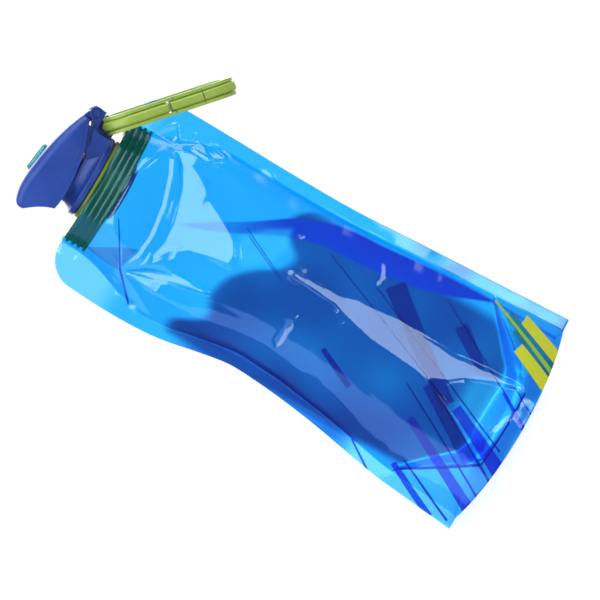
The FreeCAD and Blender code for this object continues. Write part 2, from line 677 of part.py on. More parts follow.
def main():
    os.makedirs("parts", exist_ok=True)
    pieces = film_pieces()
    pieces["bottom_gusset"] = bottom_gusset()
    pieces["spout_fitment"] = spout_fitment()
    pieces["cap_gasket"] = cap_gasket()
    pieces["cap_body"] = cap_body()
    pieces["drinking_spout"] = drinking_spout()
    pieces["hinge_pin"] = hinge_pin()
    pieces["flip_lid"], pieces["lid_seal"] = lid_pieces()
    pieces["carabiner_body"] = carabiner_body()
    pieces["carabiner_gate"] = carabiner_gate()
    pieces["gate_pin"] = gate_pin()
    pieces["gate_spring"] = gate_spring()
    for name, shape in pieces.items():
        b = shape.BoundBox
        print(name, shape.isValid(), len(shape.Solids), round(shape.Volume, 1),
              [round(v, 1) for v in (b.XMin, b.XMax, b.YMin, b.YMax, b.ZMin, b.ZMax)])
        shape.exportStep("parts/" + name + ".step")


main()
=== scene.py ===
import math

import bpy
import numpy as np
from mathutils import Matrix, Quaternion, Vector


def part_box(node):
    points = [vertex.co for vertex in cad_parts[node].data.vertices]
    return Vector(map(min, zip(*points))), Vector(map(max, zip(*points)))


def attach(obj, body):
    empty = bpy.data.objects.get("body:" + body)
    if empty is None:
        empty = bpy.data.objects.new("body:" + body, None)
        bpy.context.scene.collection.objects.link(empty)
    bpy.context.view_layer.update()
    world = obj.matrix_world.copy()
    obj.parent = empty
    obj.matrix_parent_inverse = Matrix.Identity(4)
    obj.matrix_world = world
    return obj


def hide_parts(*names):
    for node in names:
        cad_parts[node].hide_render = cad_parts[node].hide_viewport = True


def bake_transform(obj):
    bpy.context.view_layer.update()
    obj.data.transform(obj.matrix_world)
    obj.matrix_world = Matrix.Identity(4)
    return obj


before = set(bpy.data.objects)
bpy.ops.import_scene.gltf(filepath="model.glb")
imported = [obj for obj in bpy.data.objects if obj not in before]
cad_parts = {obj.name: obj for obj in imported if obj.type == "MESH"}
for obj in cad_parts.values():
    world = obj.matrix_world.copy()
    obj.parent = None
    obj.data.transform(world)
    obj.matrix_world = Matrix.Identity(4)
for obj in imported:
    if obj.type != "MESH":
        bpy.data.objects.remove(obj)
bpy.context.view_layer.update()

# Folding stand-up water bottle: the looks. Metres, +Z up, front towards -Y, hook towards +X.
# Outlines and prints are written in millimetres, (x, z) as seen from the front.
MM = 0.001

FILM_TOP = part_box("front_film_upper")[1].z / MM
CANOE_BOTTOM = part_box("spout_fitment")[0].z / MM
CANOE_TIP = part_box("spout_fitment")[1].x / MM

# ------------------------------------------------------------------ pouch sizes
FILM = 0.22
WELD_GAP = 0.03
# each sheet is glossy on its outer face only
SHEET_SIDES = ((True, "_outside"), (False, "_inside"))
SEAL = 6.4
CORNER = 14.0
COLUMNS, ROWS_LOW, ROWS_HIGH = 168, 196, 70
FINE_ABOVE = 200.0
# how far the sealed edges wander, and how far the right one stands out near the base
SEAL_WANDER = 0.7
SEAL_FLARE = 0.95
# the pouch's side edges, (z, x)
RIGHT_EDGE = [(0, 57.0), (40, 54.8), (81, 52.6), (125, 50.1), (156, 49.9), (190, 50.4), (218, 50.6),
              (239, 50.4)]
LEFT_EDGE = [(0, -63.0), (24, -60.6), (45, -58.4), (63, -55.2), (90, -50.4), (120, -46.8), (137, -46.0),
             (155, -48.6), (173, -51.9), (205, -52.9), (229, -51.4), (239, -50.8)]
# half the pouch's depth at its middle, (z, y)
DEPTH = [(0, 26.2), (10, 26.9), (37, 26.8), (80, 26.0), (125, 24.8), (150, 24.0), (165, 23.0), (185, 21.1),
         (200, 19.7), (214, 18.9), (226, 18.3), (239, 18.2)]
# how far beyond the middle the bulge reaches where it narrows to the canoe, (z, x)
SHOULDER = [(160, 60.0), (185, 47.0), (205, 41.0), (218, 36.4), (226, 34.6), (239, 34.2)]
# the gusset's weld line on the films, (x, z), and its sag to the middle of the base
GUSSET_LINE = [(-60.0, 46.0), (-49.0, 38.0), (-38.0, 24.0), (-28.0, 10.5), (-22.0, 7.6), (14.0, 7.2),
               (21.0, 10.5), (34.0, 24.5), (46.0, 38.0), (56.0, 46.0)]
GUSSET_DIP = 2.4
GUSSET_RISE = 1.2
GUSSET_CRUMPLE = 0.35
GUSSET_GROOVE = 0.8
# the welding tool's marks beyond the canoe's tips
WELD_MARKS = (-38.0, 37.4)
WELD_MARK_HEIGHT = 232.4
WELD_MARK_SIZE = (3.6, 8.6)
WELD_MARK_RIDGE = 0.42
WELD_MARK_SPREAD = 0.6
# the canoe's ribs as they show through the film
RIB_HEIGHT = 0.26
RIB_PITCH = 3.1
RIB_OFFSET = 0.75
# the gathers beside the seals, and the gentle waves of the free film (height, size)
PUCKER_HEIGHT = 0.75
PUCKER_REACH = 7.5
PUCKER_START = 1.6
SWELLS = (0.22, 70.0)
DIMPLES = (0.08, 24.0)
GRAIN = (0.015, 7.0)
FRONT_SEED = 11
BACK_SEED = 37

# ------------------------------------------------------------------ camera and floor
AIM = Vector((-1.4, 0.0, 123.0)) * MM
CAMERA_DISTANCE = 1.2
CAMERA_ELEVATION = 9.5
CAMERA_ROLL = 60.0
FRAME_WIDTH = 0.294
FLOOR_HALF = 3e4


# ================================================================== small helpers


def curve(points, at):
    """A smooth curve through (position, value) points, read at every position in at."""
    known, values = np.array(points, float).T
    slopes = np.gradient(values, known)
    at = np.clip(at, known[0], known[-1])
    i = np.clip(np.searchsorted(known, at) - 1, 0, len(known) - 2)
    step = known[i + 1] - known[i]
    t = (at - known[i]) / step
    a = (1 + 2 * t) * (1 - t) ** 2 * values[i] + t * (1 - t) ** 2 * step * slopes[i]
    b = t * t * (3 - 2 * t) * values[i + 1] + t * t * (t - 1) * step * slopes[i + 1]
    return a + b


def smooth(low, high, at):
    t = np.clip((at - low) / (high - low), 0, 1)
    return t * t * (3 - 2 * t)


def waves(x, z, seed, size, count=14):
    """Soft noise between about -1 and 1 whose lumps are about size across."""
    rng = np.random.default_rng(seed)
    total = np.zeros_like(x)
    for _ in range(count):
        turn = rng.uniform(0, 2 * math.pi)
        rate = 2 * math.pi / (size * rng.uniform(0.7, 1.8))
        phase = rng.uniform(0, 2 * math.pi)
        total += np.sin(rate * (x * math.cos(turn) + z * math.sin(turn)) + phase)
    return total / math.sqrt(count)


def to_line(x, z, points):
    """Distance to a line of points, which side of it (+ left of its run) and how far along, 0 to 1."""
    points = np.array(points, float)
    runs = np.diff(points, axis=0)
    lengths = np.hypot(*runs.T)
    before = np.concatenate([[0], np.cumsum(lengths)])
    best = np.full(x.shape, 1e9)
    side = np.zeros_like(x)
    along = np.zeros_like(x)
    for start, run, length, done in zip(points, runs, lengths, before):
        dx, dz = x - start[0], z - start[1]
        t = np.clip((dx * run[0] + dz * run[1]) / length ** 2, 0, 1)
        gap = np.hypot(dx - t * run[0], dz - t * run[1])
        near = gap < best
        best = np.where(near, gap, best)
        side = np.where(near, np.sign(run[0] * dz - run[1] * dx), side)
        along = np.where(near, (done + t * length) / before[-1], along)
    return best, side, along


def crease(x, z, points, height, left, right):
    """A sharp ridge (or valley, below 0) along a line, with a flat flank of its own width on each side."""
    gap, side, along = to_line(x, z, points)
    width = np.where(side > 0, left, right)
    ends = np.sqrt(np.clip(np.sin(math.pi * np.clip(along, 0, 1)), 0, 1))
    return height * ends * np.clip(1 - gap / width, 0, 1)


def outline_depth(x, z, corners):
    """How far inside a closed outline each point is; below 0 outside it."""
    gap, _, _ = to_line(x, z, corners + corners[:1])
    inside = np.zeros(x.shape, bool)
    for (x0, z0), (x1, z1) in zip(corners, corners[1:] + corners[:1]):
        if z0 != z1:
            inside ^= ((z0 > z) != (z1 > z)) & (x < x0 + (z - z0) * (x1 - x0) / (z1 - z0))
    return np.where(inside, gap, -gap)


def pinch(x, z, at, reach, spokes):
    """Film gathered to a point: flat facets between sharp spokes, (direction in degrees, slope)."""
    dx, dz = x - at[0], z - at[1]
    away = np.hypot(dx, dz)
    turn = np.degrees(np.arctan2(dz, dx)) % 360
    spokes = sorted((angle % 360, slope) for angle, slope in spokes)
    slope = np.interp(turn, [s[0] for s in spokes], [s[1] for s in spokes], period=360)
    return slope * away * np.exp(-(away / reach) ** 2)


def new_mesh(name, points, faces):
    mesh = bpy.data.meshes.new(name)
    mesh.from_pydata((np.asarray(points) * MM).tolist(), [], faces)
    mesh.validate()
    piece = bpy.data.objects.new(name, mesh)
    bpy.context.scene.collection.objects.link(piece)
    return piece


def grid_faces(rows, columns, flip=False):
    faces = []
    for i in range(rows - 1):
        for j in range(columns - 1):
            a = i * columns + j
            quad = (a, a + 1, a + columns + 1, a + columns)
            faces.append(quad[::-1] if flip else quad)
    return faces


def smooth_shaded(piece):
    piece.data.polygons.foreach_set("use_smooth", [True] * len(piece.data.polygons))
    piece.data.update()


def keep_modifiers(piece):
    """Applies the piece's modifiers to its mesh."""
    depsgraph = bpy.context.evaluated_depsgraph_get()
    made = bpy.data.meshes.new_from_object(piece.evaluated_get(depsgraph))
    piece.modifiers.clear()
    piece.data = made


def thicken(piece, thickness):
    """Gives a sheet its thickness, inwards from the face it was drawn on."""
    solid = piece.modifiers.new("thickness", "SOLIDIFY")
    solid.thickness = thickness * MM
    solid.offset = -1
    solid.material_offset = 1
    keep_modifiers(piece)


def point_values(piece, name, values):
    attribute = piece.data.attributes.new(name, "FLOAT", "POINT")
    attribute.data.foreach_set("value", np.asarray(values, np.float32))


def flat_map(piece, points):
    """A UV map that holds each point's place on the front view, in tenths of a metre."""
    uv = piece.data.uv_layers.new(name="flat")
    loops = np.empty(len(piece.data.loops), int)
    piece.data.loops.foreach_get("vertex_index", loops)
    values = np.asarray(points)[loops] * MM * 10
    uv.data.foreach_set("uv", values.astype(np.float32).ravel())


# ================================================================== pouch geometry


def edge_at(z, side):
    """The pouch's side edge at height z, drawn in at its round top corner."""
    edge = curve(RIGHT_EDGE if side > 0 else LEFT_EDGE, z)
    into = np.clip(z - (FILM_TOP - CORNER), 0, CORNER)
    return edge - side * (CORNER - np.sqrt(CORNER ** 2 - into ** 2))


def bulge(x, z):
    """Half the pouch's depth, as one arc across between the side seals."""
    right = np.minimum(curve(RIGHT_EDGE, z) - SEAL, curve(SHOULDER, z) - 0.8)
    left = np.maximum(curve(LEFT_EDGE, z) + SEAL, -curve(SHOULDER, z) - 0.8)
    middle, half = (left + right) / 2, (right - left) / 2
    depth = curve(DEPTH, z)
    radius = (half ** 2 + depth ** 2) / (2 * depth)
    off = np.clip(np.abs(x - middle), 0, half)
    return np.sqrt(radius ** 2 - off ** 2) - (radius - depth)


# the back film's painted shade: the upper edge of its deep blue middle (x, z), and the tapered band of
# painted shade beside it (z, x), (z, half width)
DEEP_TOP = [(-50, 176), (-41, 174), (-34, 162), (-20, 159), (-10, 155), (0, 147), (8, 137), (16, 134),
            (24, 139), (30, 142), (40, 136), (52, 110)]
BAND_MIDDLE = [(38, 46.0), (60, 41.0), (96, 36.0), (126, 33.0), (140, 28.5), (160, 17.0), (187, 3.0),
               (196, -1)]
BAND_HALF_WIDTH = [(38, 0.5), (60, 4.5), (96, 6.4), (126, 6.0), (140, 5.4), (160, 3.6), (187, 0.8),
                   (196, -2)]
# outlines of paler film: the front's low flap and the pocket on the back
PALE_FLAP = [(-8, 45), (-2, 43), (4.4, 36.6), (9.4, 24.6), (14.6, 9), (14, 3), (-25, 3), (-15, 20)]
PALE_POCKET = [(-2, 152), (8, 140), (18, 137), (28, 141), (22, 151), (14, 160), (4, 163)]
# outlines of folded film beside the left pinch, deeper for being doubled and for painted shade
FRONT_SHADES = [[(-31, 228), (-22.5, 213.5), (-33, 208.5)], [(-31, 208), (-22, 213), (-19, 205.5)]]
# points on the front where the film is gathered
RIGHT_PINCH = (30.5, 216.5)
LEFT_PINCH = (-32.0, 207.5)
PINCH_REACH = 30
# flat facets that the front film is pulled into: outline, slope towards +X, slope upwards, rim width
FACETS = [
    ([(6.8, 138.6), (9.6, 137.0), (10.6, 118), (10.8, 112), (13.0, 105), (13.5, 92), (13.5, 64),
      (12.8, 48), (14, 40), (15.2, 28), (16, 12), (15, 9), (9.5, 25), (4.5, 37), (-0.5, 44), (-3, 52),
      (-3, 66), (-1.6, 88), (2.0, 104), (4.8, 113), (5.8, 134)], 0.0, -0.03, 0.4),
    ([(-7, 46), (-2, 44), (4.4, 36.6), (9.4, 24.6), (14.6, 9.4), (4, 7.6), (-10, 12), (-14, 30)],
     -0.13, 0.0, 0.8),
    ([(-32, 206), (-25, 197), (-20.5, 185), (-20.5, 163), (-26, 184)], 0.10, 0.30, 0.5),
    ([(-29, 123), (-25, 127.6), (-14, 128), (-7.4, 122.6), (-18, 124)], 0.0, 0.42, 0.3),
    ([(21.6, 99), (28, 98.5), (35.4, 101), (34, 96), (28, 93.6)], -0.1, 0.44, 0.3),
    ([(-4, 110.8), (5, 110.6), (3.5, 108), (-1, 108.4)], 0.1, 0.34, 0.3),
    ([(-2.4, 104.6), (0.8, 105.8), (0.4, 103), (-2, 102.4)], 0.1, 0.34, 0.3),
    ([(22.2, 145), (25.6, 142.4), (28.6, 136.6), (24.6, 138.6)], 0.0, 0.34, 0.3),
    ([(33.4, 211), (37, 206), (36.4, 198), (33.2, 193), (33.8, 202)], 0.0, 0.32, 0.4),
    ([(32.6, 199), (36, 194.4), (39.4, 189), (34, 190)], 0.1, 0.34, 0.4),
    ([(41, 206), (42.6, 196), (40.2, 189), (39.4, 198)], -0.1, 0.34, 0.4),
    ([(42, 196), (43.6, 190), (42, 185.6), (41.2, 190)], -0.1, 0.36, 0.4),
    ([(32.8, 225), (38, 226), (44, 219), (36, 213.4), (33, 216)], -0.1, 0.20, 0.8),
    ([(-46, 197), (-44, 194), (-42, 190), (-47, 190.5)], 0.2, 0.34, 0.4),
    ([(43, 173), (46, 176), (45.4, 166), (42.6, 163)], -0.2, 0.30, 0.6),
]
# the large dent of the shoulder, which keeps its roundness: outline, where it pivots, slope, rim width
DENT = [(30.5, 212), (28.5, 201), (20, 186), (14, 174), (9, 166.5), (2, 162), (-6, 162), (-7.5, 174),
        (-8.5, 186), (-12, 193.5), (-20, 199.4), (0, 201), (15, 204.6)]
DENT_PIVOT = 186.0
DENT_SLOPE = 0.115
DENT_RIM = 3.0
# the lines of the front film that catch the light: points, height, flank width left and right of the run
FRONT_CREASES = [
    ([(-30, 206.8), (-22, 203.6), (-10, 202.8), (5, 205.0), (20, 209.2), (30, 214.5)], 1.0, 1.6, 2.6),
    ([(-24, 199.8), (-10, 199.6), (5, 201.6), (20, 205.8), (29, 211.5)], 0.30, 0.9, 1.6),
    ([(9, 226.5), (20, 222.6), (30, 217.6)], 0.60, 1.7, 1.5),
    ([(11, 223.8), (21, 219.4), (29.6, 215.8)], 0.50, 1.5, 1.5),
    ([(30, 217.5), (36, 210), (40, 203), (37, 195), (42, 186), (42.5, 176)], 0.9, 3.0, 3.6),
    ([(-37, 226), (-38, 214), (-41.5, 202), (-46, 190)], 0.8, 2.6, 5),
    ([(-36, 200), (-33, 178), (-29, 158), (-28, 130)], 0.8, 6, 9),
    ([(-44, 182), (-42, 150), (-39, 128), (-40, 100)], 0.9, 5, 9),
    ([(-33, 160), (-28, 130), (-31, 108), (-28, 100), (-36, 76), (-45, 52)], 0.8, 12, 6),
    ([(42, 130), (44, 96), (43, 60), (46, 40)], 0.7, 6, 9),
    ([(30, 150), (38, 120), (36, 90)], 0.4, 10, 8),
    ([(-6, 46), (2, 38.4), (14.4, 11)], -0.35, 1.2, 1.2),
]
BACK_CREASES = [
    ([(-24, 200), (-8, 193), (12, 194), (37, 190)], -1.4, 7, 7),
    ([(38, 180), (36, 150), (40, 110)], 0.8, 8, 5),
    ([(-39, 175), (-37, 140), (-41, 105)], 0.8, 5, 8),
]


def front_creases(x, z):
    h = pinch(x, z, RIGHT_PINCH, PINCH_REACH, [
        (30, 0.03), (90, 0.03), (150, 0.0), (172, 0.0), (192, 0.0), (215, -0.02), (240, 0.05),
        (262, -0.08), (285, 0.12), (305, -0.08), (330, 0.05)])
    h += pinch(x, z, LEFT_PINCH, PINCH_REACH, [
        (15, 0.02), (40, 0.05), (60, -0.05), (85, 0.05), (135, -0.02), (180, 0.03), (222, 0.07),
        (245, -0.05), (268, 0.08), (288, -0.06), (312, 0.04), (345, -0.02)])
    for points, height, left, right in FRONT_CREASES:
        h += crease(x, z, points, height, left, right)
    return h


def back_creases(x, z):
    h = pinch(x, z, (-24, 200), 36, [
        (20, -0.08), (45, 0.13), (85, 0.0), (130, 0.1), (160, -0.05), (200, 0.1), (232, -0.08), (262, 0.14),
        (291, -0.1), (325, 0.13), (350, 0.0)])
    h += pinch(x, z, (37, 190), 34, [
        (30, 0.06), (75, -0.06), (100, 0.12), (140, 0.12), (165, -0.08), (190, 0.08), (230, -0.06),
        (258, 0.13), (280, -0.08), (320, 0.08)])
    for points, height, left, right in BACK_CREASES:
        h += crease(x, z, points, height, left, right)
    return h


def puckers(z, gap, seed):
    """Small gathers that run in from a side seal, strongest just inside it."""
    rough = waves(z, z * 0.3, seed, 15.0, 9)
    return PUCKER_HEIGHT * np.abs(rough) * np.exp(-gap / PUCKER_REACH) * (1 - np.exp(-gap / PUCKER_START))


def ribs(z):
    """The film is welded down between the canoe's ribs, so they show through it."""
    turns = (z - CANOE_BOTTOM - RIB_OFFSET) / RIB_PITCH
    return RIB_HEIGHT * np.cos(turns * 2 * math.pi) * smooth(224.5, 227.5, z)


def weld_marks(x, z):
    """The raised outline that the welding tool leaves beyond each tip of the canoe."""
    h = np.zeros_like(x)
    for middle in WELD_MARKS:
        beside = np.abs(x - middle) - WELD_MARK_SIZE[0] / 2
        above = np.abs(z - WELD_MARK_HEIGHT) - WELD_MARK_SIZE[1] / 2
        h += WELD_MARK_RIDGE * np.exp(-(np.maximum(beside, above) / WELD_MARK_SPREAD) ** 2)
    return h


def loose_height(x, z, side):
    """The free film: its bulge with its creases and its gentle waves."""
    swell = bulge(x, z)
    free = smooth(0.0, 5.0, swell) * (1 - smooth(222.0, 229.0, z))
    seed = FRONT_SEED if side < 0 else BACK_SEED
    h = front_creases(x, z) if side < 0 else back_creases(x, z)
    calm = 1 - 0.6 * smooth(196, 208, z)
    swells = SWELLS[0] * waves(x, z, seed + 1, SWELLS[1])
    dimples = DIMPLES[0] * waves(x, z, seed + 2, DIMPLES[1])
    h += calm * (swells + dimples) + GRAIN[0] * waves(x, z, seed + 3, GRAIN[1])
    gap, turn, _ = to_line(x, z, GUSSET_LINE)
    groove = np.exp(-gap / np.where(turn > 0, 6.0, 3.0))
    h -= GUSSET_GROOVE * groove * smooth(10.0, 26.0, z)
    return swell + free * h


def pull_flat(x, z, height):
    """The front film with its shoulder dented and each of its facets pulled flat."""
    share = smooth(0.0, DENT_RIM, outline_depth(x, z, DENT))
    dented = bulge(x, z) - DENT_SLOPE * (z - DENT_PIVOT)
    height = height + share * (dented - height)
    for corners, to_right, upward, rim in FACETS:
        share = smooth(0.0, rim, outline_depth(x, z, corners))
        cx, cz = np.array(corners, float).T
        known = bulge(cx, cz)
        middle = (cx.mean(), cz.mean())
        spots = np.stack([np.ones_like(cx), cx - middle[0], cz - middle[1]], 1)
        level, slope_x, slope_z = np.linalg.lstsq(spots, known, rcond=None)[0]
        plane = level + (slope_x - to_right) * (x - middle[0]) + (slope_z - upward) * (z - middle[1])
        height = height + share * (plane - height)
    return height


def film_height(x, z, side):
    """How far the film's outer face stands out from the pouch's middle plane, and where it is sealed."""
    swell = bulge(x, z)
    seed = FRONT_SEED if side < 0 else BACK_SEED
    height = loose_height(x, z, side)
    if side < 0:
        height = pull_flat(x, z, height)
    from_right = np.clip(curve(RIGHT_EDGE, z) - SEAL - x, 0, None)
    from_left = np.clip(x - curve(LEFT_EDGE, z) - SEAL, 0, None)
    gathers = puckers(z, from_right, seed + 5) + puckers(z, from_left, seed + 6)
    height += gathers * (1 - smooth(205.0, 222.0, z)) * smooth(4.0, 14.0, z)
    height += ribs(z) * smooth(2.0, 6.0, swell) * (0.7 + 0.3 * smooth(-16.0, -2.0, x))
    height += weld_marks(x, z)
    sealed = 1 - smooth(0.0, 1.2, swell)
    return np.maximum(height, 0) + FILM + WELD_GAP, sealed


def film_rows():
    low = np.linspace(0, FINE_ABOVE, ROWS_LOW)
    high = np.linspace(FINE_ABOVE, FILM_TOP, ROWS_HIGH)
    return np.concatenate([low, high[1:]])


def seal_wave(x, z):
    """The sealed edges of both films wander together out of the middle plane."""
    edge = np.where(x > 0, curve(RIGHT_EDGE, z) - x, x - curve(LEFT_EDGE, z))
    wander = SEAL_WANDER * waves(z, np.where(x > 0, 40.0, -40.0), 71, 85.0)
    wander *= np.exp(-edge / 9.0) * smooth(238, 200, z)
    flare = SEAL_FLARE * np.clip(1.1 - edge / SEAL, 0, 1) * smooth(100, 78, z) * (x > 0)
    return wander + flare


def under_gusset_line(x, z):
    """1 where the film lies below the gusset's weld line."""
    gap, turn, _ = to_line(x, z, GUSSET_LINE)
    return smooth(-1.2, 0.6, np.where(turn > 0, -gap, gap)) * (1 - 0.7 * smooth(4.0, 24.0, x))


def on_fitment(x, z):
    """1 where the film is welded down on the fitment's canoe, which dulls it."""
    return smooth(224.5, 227.0, z) * smooth(CANOE_TIP + 0.5, CANOE_TIP - 0.5, np.abs(x))


def front_shade(x, z):
    """Deeper film on the front: the folds beside the left pinch, doubled and with painted shade, the weld
    marks, and painted shade with streaked painted reflections on the right seal.
    """
    shade = np.zeros_like(x)
    # folds beside the left pinch: doubled film, deepened with painted shade
    for corners in FRONT_SHADES:
        shade = np.maximum(shade, smooth(-0.2, 0.5, outline_depth(x, z, corners)))
    weld = weld_marks(x, z)
    # painted shade with streaked painted reflections on the right seal below the waist
    on_right_seal = smooth(-0.6, 0.6, x - curve(RIGHT_EDGE, z) + SEAL) * smooth(98, 84, z)
    streaks = np.clip(0.9 + 0.8 * waves(1.6 * x, z, 54, 24.0), 0.2, 1.9)
    return np.maximum(np.maximum(0.42 * shade, 0.7 * weld), 0.34 * on_right_seal * streaks)


def left_seal_shade(x, z):
    """Painted shade along the left seal's waist: a royal blue band with fine streaks."""
    inwards = x - curve(LEFT_EDGE, z) - SEAL
    lines = 0.8 + 0.2 * waves(8.0 * x, 0.3 * z, 53, 16.0)
    return np.clip(0.85 * smooth(4.0, 0.0, inwards) * smooth(58, 70, z) * smooth(172, 150, z) * lines, 0, 1)


def back_shade(x, z):
    """Painted shade on the back film: a deep blue middle, thinner behind the flap, and one long tapered band.
    """
    top = curve(DEEP_TOP, x) + 2.0 * waves(x, z, 51, 30.0)
    shade = smooth(3.5, -3.5, z - top) * smooth(4.0, 14.0, z) * (1 - under_gusset_line(x, z))
    shade *= smooth(-49.5, -44.5, x) * (1 - smooth(35.0, 43.0, x))
    shade *= 0.9 + 0.1 * waves(x, z, 52, 45.0)
    shade *= 1 - 0.6 * smooth(-1.0, 2.0, outline_depth(x, z, PALE_FLAP)) * smooth(27, 17, z)
    off = np.abs(x - curve(BAND_MIDDLE, z))
    shade_band = smooth(0.8, -0.8, off - curve(BAND_HALF_WIDTH, z)) * (0.35 + 0.65 * smooth(175, 140, z))
    return np.clip(shade, 0, 1), shade_band


def film(name, side, stripes):
    """The front (side -1) or back (side 1) film, with the values that its material reads at each point."""
    z = film_rows()
    right, left = edge_at(z, 1), edge_at(z, -1)
    across = np.linspace(0, 1, COLUMNS)
    spread = 0.5 - 0.5 * np.cos(math.pi * across)
    across = 0.72 * across + 0.28 * spread
    x = left[:, None] + (right - left)[:, None] * across[None, :]
    z = np.repeat(z[:, None], COLUMNS, 1)
    height, sealed = film_height(x, z, side)
    pale = np.where(x < 0, np.maximum(smooth(196, 212, z), smooth(78, 58, z)), smooth(222, 234, z))
    pale = sealed * (0.2 + 0.8 * pale)
    if side > 0:
        pale = np.maximum(pale, 0.6 * smooth(-1.5, 2.5, outline_depth(x, z, PALE_POCKET)))
    else:
        pale = np.maximum(pale, 0.55 * smooth(-0.3, 0.5, outline_depth(x, z, PALE_FLAP)))
    y = side * height + seal_wave(x, z)
    points = np.stack([x, y, z], -1).reshape(-1, 3)
    piece = new_mesh(name, points, grid_faces(x.shape[0], COLUMNS, side > 0))
    point_values(piece, "pale", pale.ravel())
    # painted shade: the back film's deep middle and band, and the front's seals; the front's deep value also
    # holds its deeper folds and weld marks
    deep, shade_band = back_shade(x, z) if side > 0 else (front_shade(x, z), left_seal_shade(x, z))
    point_values(piece, "deep", deep.ravel())
    point_values(piece, "shade_band", shade_band.ravel())
    point_values(piece, "base", under_gusset_line(x, z).ravel())
    point_values(piece, "snug", on_fitment(x, z).ravel())
    flat_map(piece, points[:, [0, 2]])
    for gloss, where in SHEET_SIDES:
        piece.data.materials.append(film_material(name + where, stripes, gloss))
    thicken(piece, FILM)
    smooth_shaded(piece)
    return piece


def gusset_height(x):
    known, values = np.array(GUSSET_LINE, float).T
    return np.interp(x, known, values)


def gusset(name):
    """The base: a saddle across between the films, turned down into legs welded inside them to the rim."""
    columns, legs, span = 120, 14, 44
    x = np.linspace(edge_at(np.zeros(1), -1)[0] + 1.2, edge_at(np.zeros(1), 1)[0] - 1.2, columns)
    inset = FILM + WELD_GAP + 0.08
    top = gusset_height(x)
    rows = []
    welded = []
    for side, order in ((-1, range(legs)), (1, reversed(range(legs)))):
        leg = []
        for n in order:
            z = top * n / (legs - 1)
            xx = np.clip(x, edge_at(z, -1) + 0.6, edge_at(z, 1) - 0.6)
            height, _ = film_height(xx, z, side)
            y = side * np.maximum(height - inset, 0.04) + seal_wave(xx, z)
            leg.append(np.stack([xx, y, z], -1))
        if side < 0:
            rows += leg
            front = leg[-1]
        else:
            back = leg[0]
            for n in range(1, span):
                t = n / span
                row = front * (1 - t) + back * t
                width = np.clip(back[:, 1] - front[:, 1], 0, None)
                rise = np.clip(width / 6.0, 0, 1)
                arch = math.sin(math.pi * t)
                row[:, 2] += rise * (GUSSET_RISE * arch - GUSSET_DIP * arch ** 2)
                row[:, 2] += GUSSET_CRUMPLE * rise * arch * waves(row[:, 0], row[:, 1], 91, 22.0)
                rows.append(row)
            rows += leg
    for n in range(len(rows)):
        welded += [float(n < legs or n >= len(rows) - legs)] * columns
    points = np.array(rows).reshape(-1, 3)
    piece = new_mesh(name, points, grid_faces(len(rows), columns))
    point_values(piece, "leg", welded)
    flat_map(piece, points[:, [0, 1]])
    for gloss, where in SHEET_SIDES:
        piece.data.materials.append(gusset_material(name + where, gloss))
    thicken(piece, FILM * 0.8)
    smooth_shaded(piece)
    return piece


# ================================================================== materials


class Nodes:
    """A material's node tree, with short calls to add and join nodes."""

    def __init__(self, name):
        self.material = bpy.data.materials.new(name)
        self.material.use_nodes = True
        self.tree = self.material.node_tree
        self.tree.nodes.clear()
        self.output = self.tree.nodes.new("ShaderNodeOutputMaterial")

    def link(self, source, target):
        self.tree.links.new(source, target)

    def add(self, kind, inputs=None, output=0, **settings):
        node = self.tree.nodes.new("ShaderNode" + kind)
        for key, value in settings.items():
            setattr(node, key, value)
        for key, value in (inputs or {}).items():
            if isinstance(value, bpy.types.NodeSocket):
                self.link(value, node.inputs[key])
            else:
                node.inputs[key].default_value = value
        return node.outputs[output]

    def math(self, operation, *values):
        return self.add("Math", dict(enumerate(values)), operation=operation)

    def dot(self, vector, along):
        return self.add("VectorMath", {0: vector, 1: along}, "Value", operation="DOT_PRODUCT")

    def span(self, value, low, high, to_low=0.0, to_high=1.0, kind="LINEAR"):
        inputs = {"Value": value, "From Min": low, "From Max": high, "To Min": to_low, "To Max": to_high}
        return self.add("MapRange", inputs, interpolation_type=kind)

    def mix(self, share, a, b, blend="MIX"):
        node = self.tree.nodes.new("ShaderNodeMix")
        node.data_type = "RGBA"
        node.blend_type = blend
        for key, value in ((0, share), (6, a), (7, b)):
            if isinstance(value, bpy.types.NodeSocket):
                self.link(value, node.inputs[key])
            else:
                node.inputs[key].default_value = value
        return node.outputs[2]

    def noise(self, scale, detail, roughness, vector):
        inputs = {"Scale": scale, "Detail": detail, "Roughness": roughness, "Vector": vector}
        return self.add("TexNoise", inputs)

    def finish(self, shader):
        self.link(shader, self.output.inputs["Surface"])
        return self.material


def rgb(r, g, b):
    return (r, g, b, 1.0)


WHITE = rgb(1, 1, 1)

# Film colours: what one face of a film lets through
AZURE = rgb(0.34, 0.83, 0.995)
AZURE_DEEPER = rgb(0.30, 0.78, 0.99)
# the next two colours are mostly painted shade: the deep one darkens the back film's middle and the right
# seal, and also deepens the front's folds and weld marks; the royal one tints the bands of painted shade
DEEP = rgb(0.018, 0.285, 0.56)
BAND_SHADE = rgb(0.03, 0.25, 0.76)
BELOW_GUSSET = rgb(0.54, 0.885, 0.995)
SEALED = rgb(0.63, 0.915, 1.0)
HAZE = 0.03
# the film's reflecting share seen square on, what a slant adds, and what stays on the fitment's canoe
SQUARE_SHINE = 0.034
SLANT_SHINE = 0.6
SNUG_SHINE = 0.45
